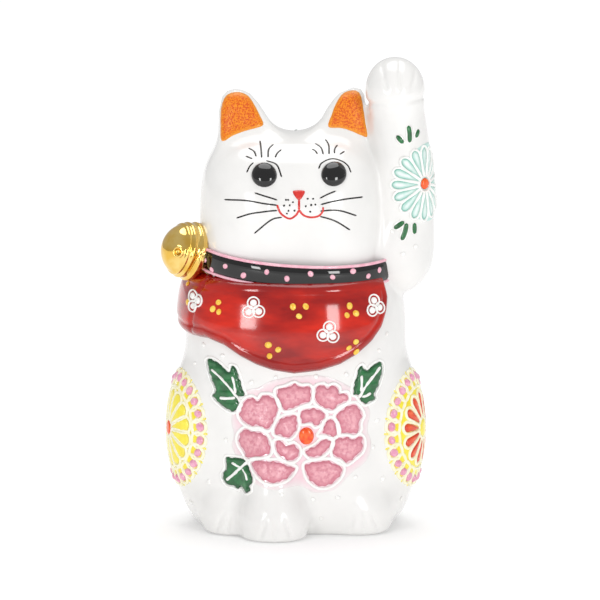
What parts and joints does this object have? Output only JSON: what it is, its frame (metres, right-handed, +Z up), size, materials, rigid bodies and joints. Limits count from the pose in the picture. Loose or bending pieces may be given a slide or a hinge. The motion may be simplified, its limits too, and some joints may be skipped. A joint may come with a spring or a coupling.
{
  "type": "beckoning cat figurine",
  "caption": "Seated hollow pottery cat with one raised paw, a moulded collar, bib and bell, and raised enamel flowers on its body.",
  "frame": {"origin": "centre of the flat base, on the surface the cat stands on", "axes": "+Z up, the cat faces -Y, and +X is the side of the raised paw (the cat's own left)"},
  "size_m": [0.0878, 0.0857, 0.1499],
  "materials": {
    "glazed_clay": "gloss",
    "red_enamel": "gloss",
    "black_enamel": "gloss",
    "pink_enamel": "gloss",
    "orange_enamel": "gloss",
    "yellow_enamel": "gloss",
    "green_enamel": "gloss",
    "white_enamel": "gloss",
    "mint_enamel": "gloss",
    "red_brown_enamel": "gloss",
    "gold_lustre": "polished"
  },
  "bodies": {
    "root": {"arm_flower_centre": "orange_enamel", "arm_flower_petals": "mint_enamel", "arm_leaf_strokes": "green_enamel", "back_centre": "orange_enamel", "back_petals": "mint_enamel", "bell": "gold_lustre", "bib": "red_enamel", "bib_blossom_lobes": "white_enamel", "bib_blossoms": "white_enamel", "bib_yellow_dots": "yellow_enamel", "body_shell": "glazed_clay", "brow_strokes": "black_enamel", "collar": "black_enamel", "collar_dots": "pink_enamel", "collar_edging_lower": "pink_enamel", "collar_edging_upper": "pink_enamel", "ear_enamel_left": "orange_enamel", "ear_enamel_right": "orange_enamel", "ear_left": "glazed_clay", "ear_right": "glazed_clay", "eye_left": "black_enamel", "eye_right": "black_enamel", "eyelid_lines": "black_enamel", "head_back_centre": "orange_enamel", "head_back_leaf": "green_enamel", "head_back_petals": "mint_enamel", "leaf_left_lower": "green_enamel", "leaf_left_upper": "green_enamel", "leaf_right_upper": "green_enamel", "leaf_veins": "white_enamel", "mouth_line": "red_enamel", "muzzle_dots": "black_enamel", "nose": "red_enamel", "peony_centre": "orange_enamel", "peony_outline": "white_enamel", "peony_petals": "pink_enamel", "raised_arm": "glazed_clay", "roundel_left_centre": "orange_enamel", "roundel_left_dots": "pink_enamel", "roundel_left_field": "white_enamel", "roundel_left_outline": "white_enamel", "roundel_left_petals": "yellow_enamel", "roundel_right_centre": "yellow_enamel", "roundel_right_dots": "pink_enamel", "roundel_right_field": "yellow_enamel", "roundel_right_outline": "white_enamel", "roundel_right_petals": "red_brown_enamel", "tail": "glazed_clay", "whiskers": "black_enamel", "white_dots": "white_enamel"}
  },
  "joints": []
}
